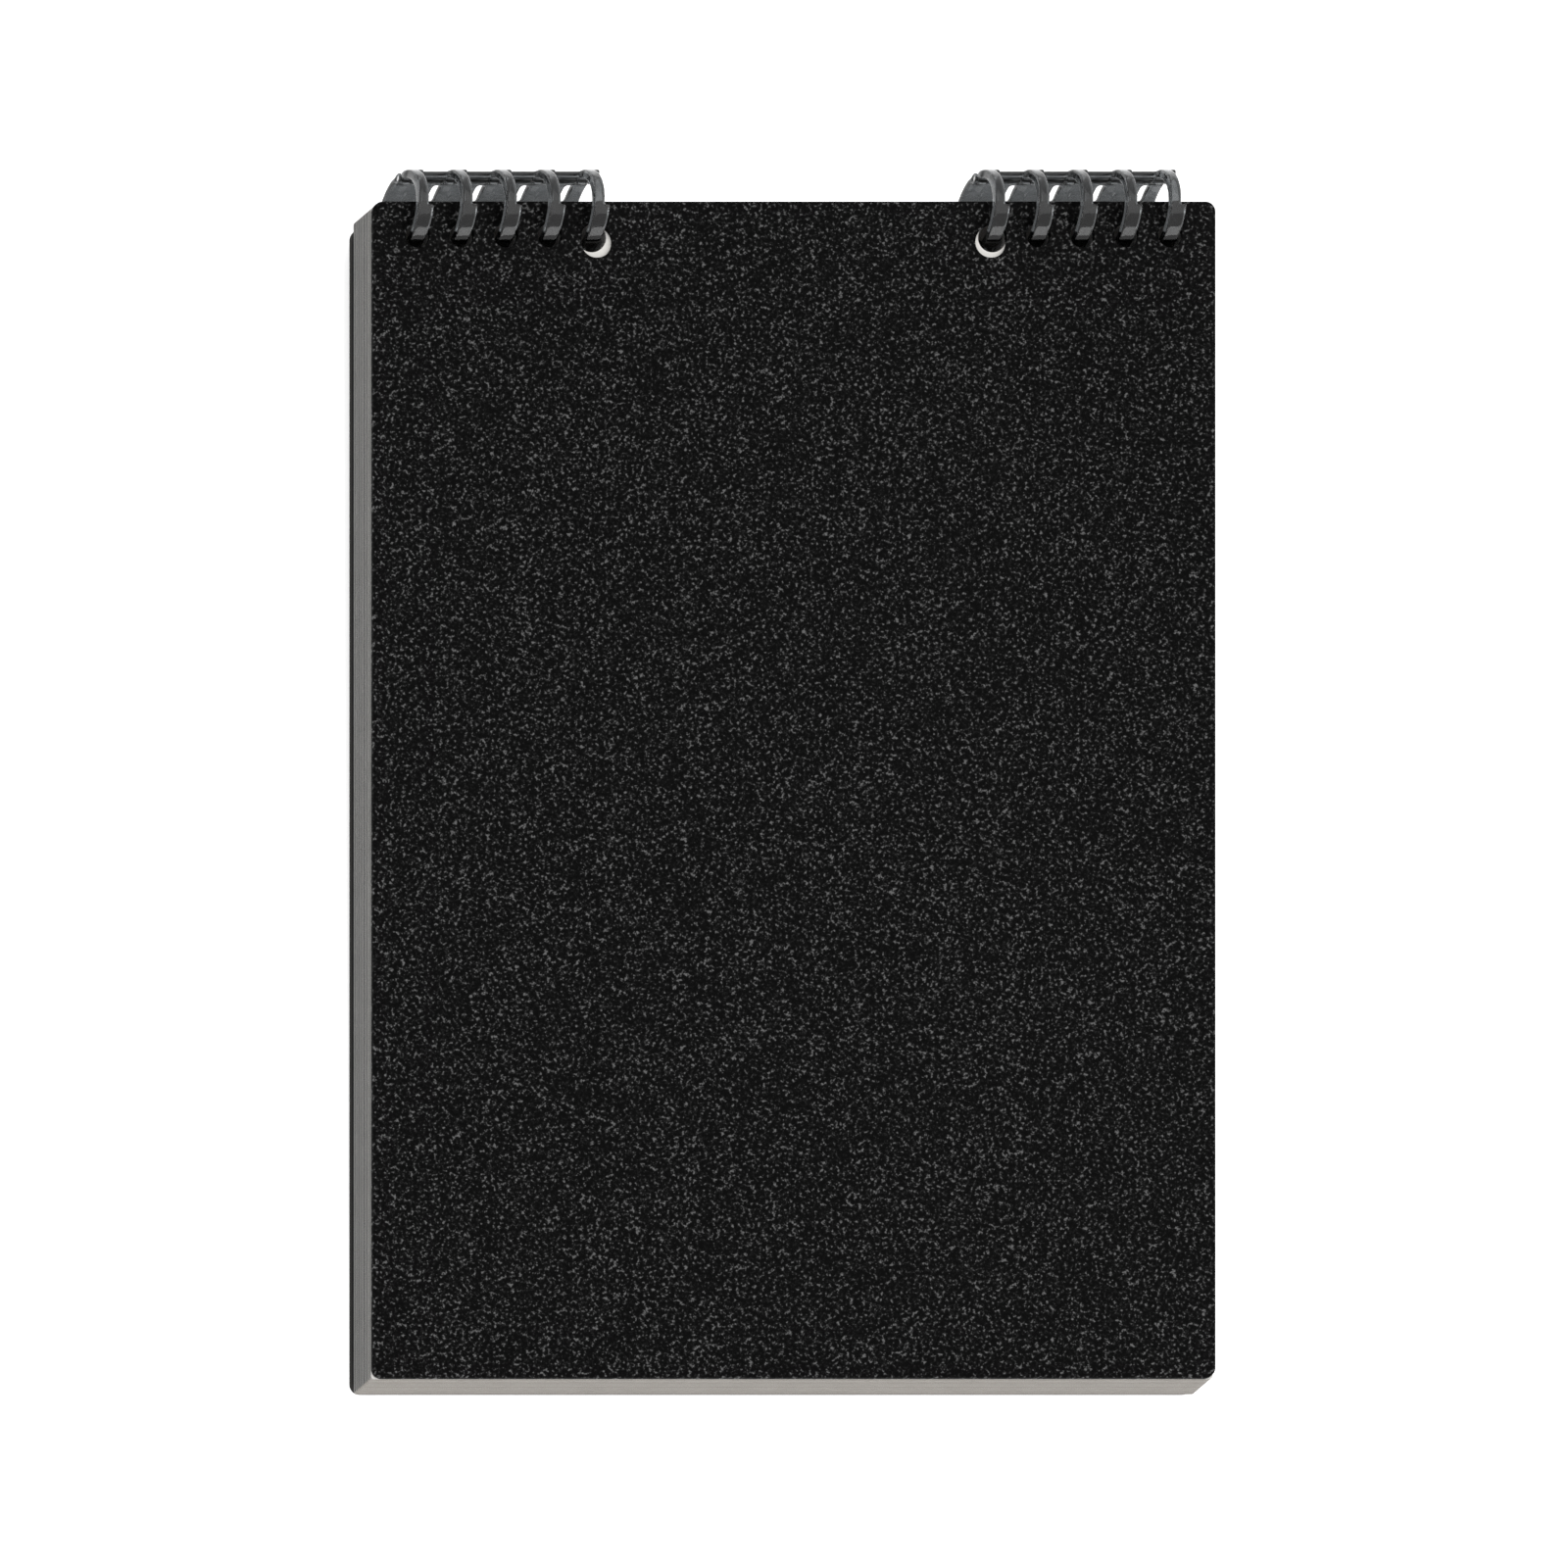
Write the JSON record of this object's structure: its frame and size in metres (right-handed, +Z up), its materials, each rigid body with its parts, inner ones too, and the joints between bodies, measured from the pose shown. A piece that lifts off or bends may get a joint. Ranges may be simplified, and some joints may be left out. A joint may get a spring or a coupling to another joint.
{
  "type": "sketchbook",
  "caption": "Top-bound sketchbook: drawing sheets between a black grained cover and a back board, held by hinged clear plastic ring units.",
  "frame": {"origin": "centre of the footprint, on the surface the book lies on", "axes": "+Z up, out of the front cover; +Y towards the bound ring edge; +X to the right as the cover is read"},
  "size_m": [0.182, 0.2624, 0.018],
  "materials": {
    "cover_plastic": "fine-grained black polypropylene",
    "board": "black-faced pressed board",
    "paper": "uncoated drawing paper",
    "ring_plastic": "clear, slightly smoky moulded plastic",
    "pin_steel": "drawn wire"
  },
  "bodies": {
    "back_board": {"back_board": "board"},
    "pad": {"sheet_07": "paper", "sheet_08": "paper", "sheet_09": "paper", "sheet_10": "paper", "sheet_11": "paper", "sheet_12": "paper", "sheet_13": "paper", "sheet_14": "paper", "sheet_15": "paper", "sheet_16": "paper", "sheet_17": "paper", "sheet_18": "paper", "sheet_19": "paper", "sheet_20": "paper", "sheet_21": "paper", "sheet_22": "paper", "sheet_23": "paper", "sheet_24": "paper", "sheet_25": "paper", "sheet_26": "paper", "sheet_27": "paper", "sheet_28": "paper", "sheet_29": "paper", "sheet_30": "paper", "sheet_31": "paper", "sheet_32": "paper"},
    "front_cover": {"front_cover": "cover_plastic"},
    "sheet_01": {"sheet_01": "paper"},
    "sheet_02": {"sheet_02": "paper"},
    "sheet_03": {"sheet_03": "paper"},
    "sheet_04": {"sheet_04": "paper"},
    "sheet_05": {"sheet_05": "paper"},
    "sheet_06": {"sheet_06": "paper"},
    "left_spine": {"left_ring_spine": "ring_plastic"},
    "left_front": {"left_ring_front": "ring_plastic"},
    "left_pin": {"left_hinge_pin": "pin_steel"},
    "right_spine": {"right_ring_spine": "ring_plastic"},
    "right_front": {"right_ring_front": "ring_plastic"},
    "right_pin": {"right_hinge_pin": "pin_steel"}
  },
  "joints": [
    {"name": "pad_lift", "type": "hinge", "parent": "back_board", "child": "pad", "pos_m": [0, 0.12217, 0.009], "axis": [1, 0, 0], "range_deg": [-75, 0]},
    {"name": "cover_turn", "type": "hinge", "parent": "pad", "child": "front_cover", "pos_m": [0, 0.12217, 0.009], "axis": [-1, 0, 0], "range_deg": [0, 181.5]},
    {"name": "sheet_01_turn", "type": "hinge", "parent": "pad", "child": "sheet_01", "pos_m": [0, 0.12217, 0.009], "axis": [-1, 0, 0], "range_deg": [0, 179.35]},
    {"name": "sheet_02_turn", "type": "hinge", "parent": "pad", "child": "sheet_02", "pos_m": [0, 0.12217, 0.009], "axis": [-1, 0, 0], "range_deg": [0, 177.16]},
    {"name": "sheet_03_turn", "type": "hinge", "parent": "pad", "child": "sheet_03", "pos_m": [0, 0.12217, 0.009], "axis": [-1, 0, 0], "range_deg": [0, 174.94]},
    {"name": "sheet_04_turn", "type": "hinge", "parent": "pad", "child": "sheet_04", "pos_m": [0, 0.12217, 0.009], "axis": [-1, 0, 0], "range_deg": [0, 172.75]},
    {"name": "sheet_05_turn", "type": "hinge", "parent": "pad", "child": "sheet_05", "pos_m": [0, 0.12217, 0.009], "axis": [-1, 0, 0], "range_deg": [0, 170.55]},
    {"name": "sheet_06_turn", "type": "hinge", "parent": "pad", "child": "sheet_06", "pos_m": [0, 0.12217, 0.009], "axis": [-1, 0, 0], "range_deg": [0, 168.35]},
    {"name": "left_ring_roll", "type": "hinge", "parent": "pad", "child": "left_spine", "pos_m": [0, 0.12217, 0.009], "axis": [-1, 0, 0], "range_deg": [0, 77]},
    {"name": "right_ring_roll", "type": "hinge", "parent": "pad", "child": "right_spine", "pos_m": [0, 0.12217, 0.009], "axis": [-1, 0, 0], "range_deg": [0, 77]},
    {"name": "left_ring_open", "type": "hinge", "parent": "left_spine", "child": "left_front", "pos_m": [0, 0.12997, 0.00912], "axis": [1, 0, 0], "range_deg": [-95, 0]},
    {"name": "right_ring_open", "type": "hinge", "parent": "right_spine", "child": "right_front", "pos_m": [0, 0.12997, 0.00912], "axis": [1, 0, 0], "range_deg": [-95, 0]},
    {"name": "left_pin_spin", "type": "hinge", "parent": "left_spine", "child": "left_pin", "pos_m": [0, 0.12997, 0.00912], "axis": [1, 0, 0], "continuous": true},
    {"name": "right_pin_spin", "type": "hinge", "parent": "right_spine", "child": "right_pin", "pos_m": [0, 0.12997, 0.00912], "axis": [1, 0, 0], "continuous": true}
  ],
  "couplings": [
    {"joint": "sheet_01_turn", "follows": "cover_turn", "ratio": 0.9879},
    {"joint": "sheet_02_turn", "follows": "cover_turn", "ratio": 0.9758},
    {"joint": "sheet_03_turn", "follows": "cover_turn", "ratio": 0.9636},
    {"joint": "sheet_04_turn", "follows": "cover_turn", "ratio": 0.9515},
    {"joint": "sheet_05_turn", "follows": "cover_turn", "ratio": 0.9394},
    {"joint": "sheet_06_turn", "follows": "cover_turn", "ratio": 0.9273},
    {"joint": "left_ring_roll", "follows": "cover_turn", "ratio": 0.424},
    {"joint": "right_ring_roll", "follows": "cover_turn", "ratio": 0.424}
  ]
}
